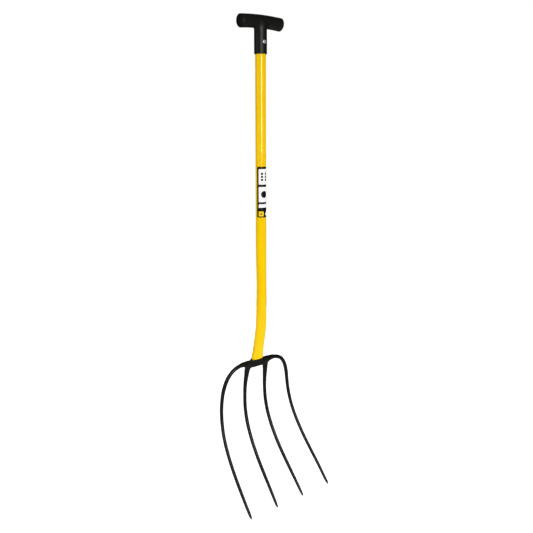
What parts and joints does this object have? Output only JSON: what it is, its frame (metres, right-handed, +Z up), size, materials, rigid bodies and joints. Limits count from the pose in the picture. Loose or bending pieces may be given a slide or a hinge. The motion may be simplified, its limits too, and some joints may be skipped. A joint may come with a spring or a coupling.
{
  "type": "garden fork",
  "caption": "Long T-handled garden fork with slender, strongly curved round tines on a cranked steel tube shaft, for lifting manure, straw and loose soil.",
  "frame": {"origin": "on the axis of the straight shaft, level with the underside of the T grip, where the fork hangs on a pair of pegs", "axes": "+Z up the straight part of the shaft towards the T grip, +X across the tines and along the T grip, +Y to the back; the tines sweep forward towards -Y"},
  "size_m": [0.2908, 0.1768, 1.333],
  "materials": {
    "forged_black": "black paint, satin, over forged steel",
    "shaft_paint": "yellow powder coat, gloss with slight orange peel",
    "pin_steel": "dark spring steel",
    "handle_plastic": "black polypropylene, fine texture",
    "cap_plastic": "black polypropylene, satin",
    "rivet_aluminium": "bright",
    "mandrel_steel": "broken steel stem",
    "label_vinyl": "printed vinyl, semi-gloss"
  },
  "bodies": {
    "root": {"tine_head": "forged_black", "shaft_tube": "shaft_paint", "head_pin": "pin_steel", "t_handle": "handle_plastic", "grip_cap_left": "cap_plastic", "grip_cap_right": "cap_plastic", "handle_rivet": "rivet_aluminium", "rivet_mandrel": "mandrel_steel", "label": "label_vinyl"}
  },
  "joints": []
}
